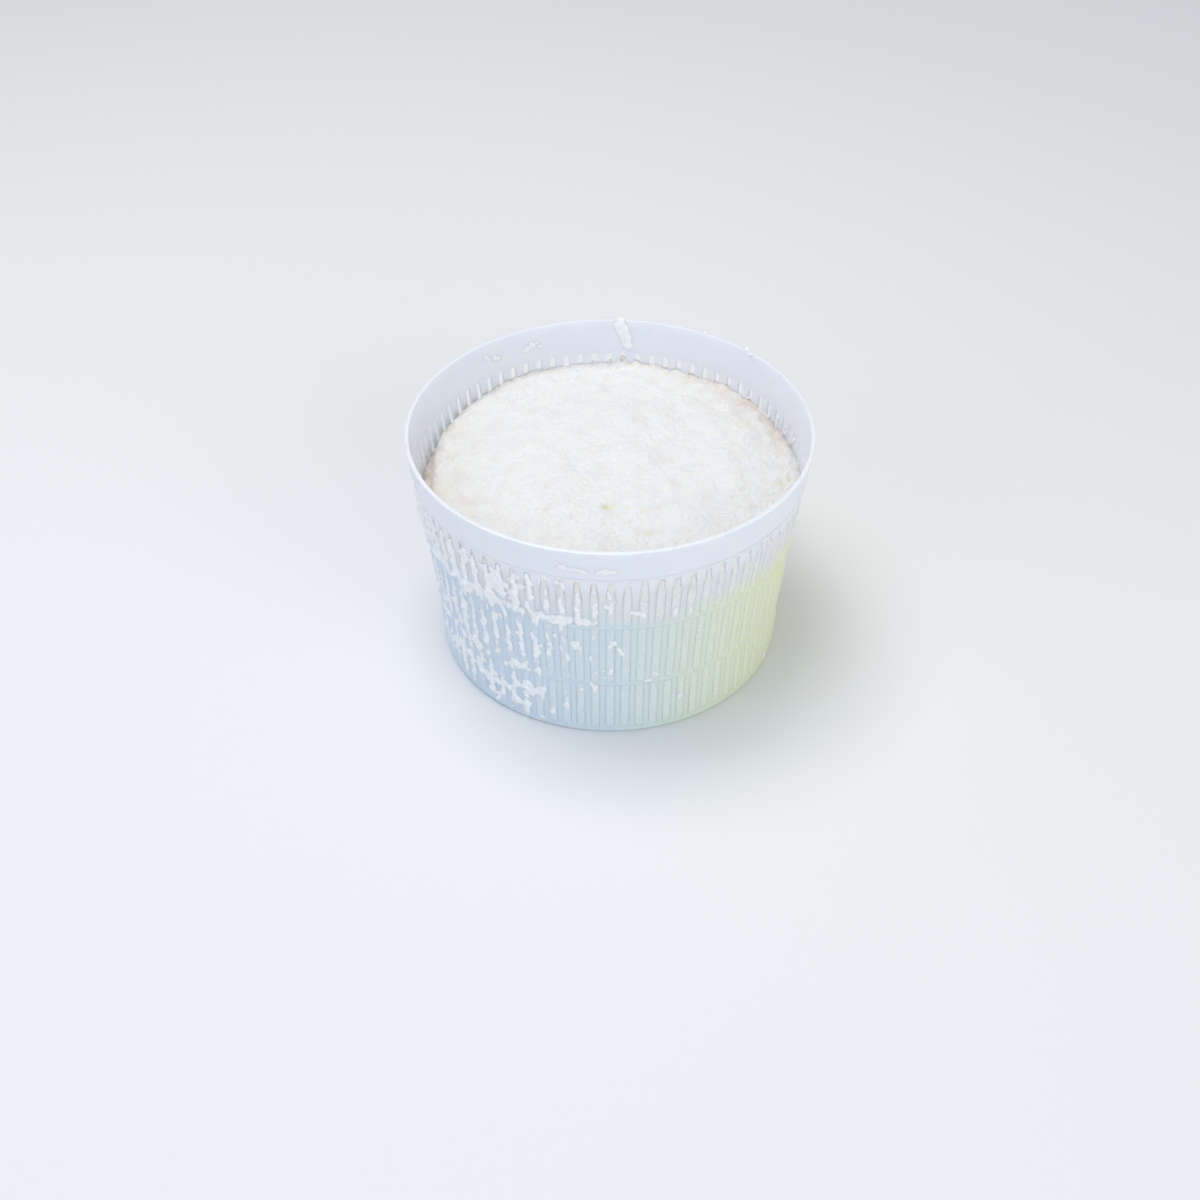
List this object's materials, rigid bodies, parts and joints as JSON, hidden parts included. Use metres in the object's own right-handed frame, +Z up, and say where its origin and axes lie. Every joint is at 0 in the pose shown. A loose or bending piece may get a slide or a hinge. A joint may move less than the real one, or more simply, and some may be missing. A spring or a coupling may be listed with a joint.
{
  "type": "ricotta in basket",
  "caption": "Fresh ricotta with a low uneven dome, standing in its round tapered draining basket of slotted translucent plastic.",
  "frame": {"origin": "middle of the basket's base, on the surface it stands on", "axes": "+Z up along the basket's axis; the side shown in front is -Y; the curd stands out through the slots at -X"},
  "size_m": [0.118, 0.118, 0.073],
  "materials": {
    "basket": "thin moulded polypropylene, milky and translucent, satin",
    "ricotta": "fresh curd, white with a faint cream tint, moist and finely grained"
  },
  "bodies": {
    "root": {"basket": "basket", "ricotta": "ricotta"}
  },
  "joints": []
}
